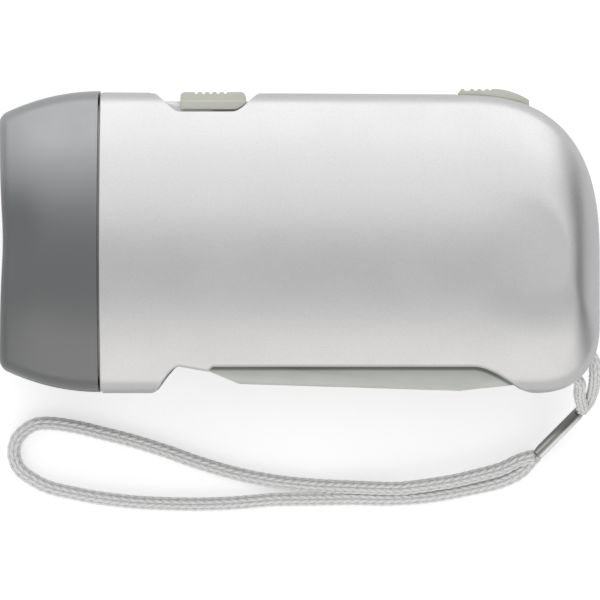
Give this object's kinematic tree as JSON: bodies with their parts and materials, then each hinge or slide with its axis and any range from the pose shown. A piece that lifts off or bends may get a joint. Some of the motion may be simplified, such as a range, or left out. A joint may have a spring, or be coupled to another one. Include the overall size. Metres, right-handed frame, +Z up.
{
  "type": "hand-press dynamo flashlight",
  "caption": "Hand-press dynamo flashlight with a squeeze lever, inner gear train and generator, power and lock sliders, smoky head and braided wrist strap.",
  "frame": {"origin": "middle of the torch's footprint on the surface that it lies on, strap left out", "axes": "+X from the head to the tail, +Y towards the thumb sliders, -Y towards the squeeze lever, +Z up through the parting plane between the two case halves"},
  "size_m": [0.1038, 0.0732, 0.038],
  "materials": {
    "case_near_half": "satin silver paint",
    "case_far_half": "satin silver paint",
    "head_bezel": "smoky translucent",
    "front_lens": "clear plastic",
    "lens_seal": "matte",
    "reflector": "vacuum metallised",
    "lamp_board": "green laminate",
    "led_1": "clear epoxy",
    "led_2": "clear epoxy",
    "led_3": "clear epoxy",
    "squeeze_lever": "light grey",
    "lever_pivot_pin": "plain",
    "lever_return_spring": "spring wire",
    "drive_gear": "natural acetal",
    "second_gear": "natural acetal",
    "rotor_hub": "natural acetal",
    "flywheel": "turned",
    "ring_magnet": "sintered ferrite",
    "drive_shaft": "ground",
    "second_shaft": "ground",
    "rotor_shaft": "ground",
    "stator_core": "stacked sheet",
    "coil_bobbin": "moulded",
    "coil_winding": "enamelled copper wire",
    "gear_plate": "moulded",
    "plate_screw_1": "plated",
    "plate_screw_2": "plated",
    "plate_screw_3": "plated",
    "case_screw_1": "plated",
    "case_screw_2": "plated",
    "case_screw_3": "plated",
    "case_screw_4": "plated",
    "power_slider": "beige grey",
    "switch_knob": "black",
    "slide_switch": "tinned shell",
    "circuit_board": "green laminate",
    "charge_chip": "black epoxy",
    "battery_pack": "wrapped cells",
    "lamp_lead": "insulated wire",
    "battery_lead": "insulated wire",
    "coil_lead": "insulated wire",
    "lock_slider": "beige grey",
    "strap_bar": "plated",
    "strap_crimp": "nickel plated",
    "strap_eye_loop": "braided cord",
    "strap_wrist_loop": "braided cord"
  },
  "bodies": {
    "case": {"case_near_half": "case_near_half", "case_far_half": "case_far_half", "head_bezel": "head_bezel", "front_lens": "front_lens", "lens_seal": "lens_seal", "reflector": "reflector", "lamp_board": "lamp_board", "led_1": "led_1", "led_2": "led_2", "led_3": "led_3", "lever_pivot_pin": "lever_pivot_pin", "lever_return_spring": "lever_return_spring", "drive_shaft": "drive_shaft", "second_shaft": "second_shaft", "rotor_shaft": "rotor_shaft", "stator_core": "stator_core", "coil_bobbin": "coil_bobbin", "coil_winding": "coil_winding", "gear_plate": "gear_plate", "plate_screw_1": "plate_screw_1", "plate_screw_2": "plate_screw_2", "plate_screw_3": "plate_screw_3", "case_screw_1": "case_screw_1", "case_screw_2": "case_screw_2", "case_screw_3": "case_screw_3", "case_screw_4": "case_screw_4", "slide_switch": "slide_switch", "circuit_board": "circuit_board", "charge_chip": "charge_chip", "battery_pack": "battery_pack", "lamp_lead": "lamp_lead", "battery_lead": "battery_lead", "coil_lead": "coil_lead", "strap_bar": "strap_bar", "strap_crimp": "strap_crimp", "strap_eye_loop": "strap_eye_loop", "strap_wrist_loop": "strap_wrist_loop"},
    "lever": {"squeeze_lever": "squeeze_lever"},
    "drive": {"drive_gear": "drive_gear"},
    "second": {"second_gear": "second_gear"},
    "rotor": {"rotor_hub": "rotor_hub", "flywheel": "flywheel", "ring_magnet": "ring_magnet"},
    "power_slide_body": {"power_slider": "power_slider", "switch_knob": "switch_knob"},
    "lock_slide_body": {"lock_slider": "lock_slider"}
  },
  "joints": [
    {"name": "rotor_spin", "type": "hinge", "parent": "case", "child": "rotor", "pos_m": [0.0291, -0.00211, 0.019], "axis": [0, 0, 1], "range_deg": [0, 1100]},
    {"name": "second_gear_spin", "type": "hinge", "parent": "case", "child": "second", "pos_m": [0.01732, 0.00338, 0.019], "axis": [0, 0, 1], "range_deg": [-330, 0]},
    {"name": "drive_gear_spin", "type": "hinge", "parent": "case", "child": "drive", "pos_m": [0.00806, -0.00765, 0.019], "axis": [0, 0, 1], "range_deg": [0, 110]},
    {"name": "lever_hinge", "type": "hinge", "parent": "case", "child": "lever", "pos_m": [-0.019, -0.0175, 0.019], "axis": [0, 0, 1], "range_deg": [-22, 0]},
    {"name": "power_slide", "type": "slide", "parent": "case", "child": "power_slide_body", "axis": [1, 0, 0], "range_m": [-0.0029, 0]},
    {"name": "lock_slide", "type": "slide", "parent": "case", "child": "lock_slide_body", "axis": [1, 0, 0], "range_m": [0, 0.0025]}
  ],
  "couplings": [
    {"joint": "second_gear_spin", "follows": "rotor_spin", "ratio": -0.3},
    {"joint": "drive_gear_spin", "follows": "rotor_spin", "ratio": 0.1},
    {"joint": "lever_hinge", "follows": "rotor_spin", "ratio": -0.02}
  ]
}
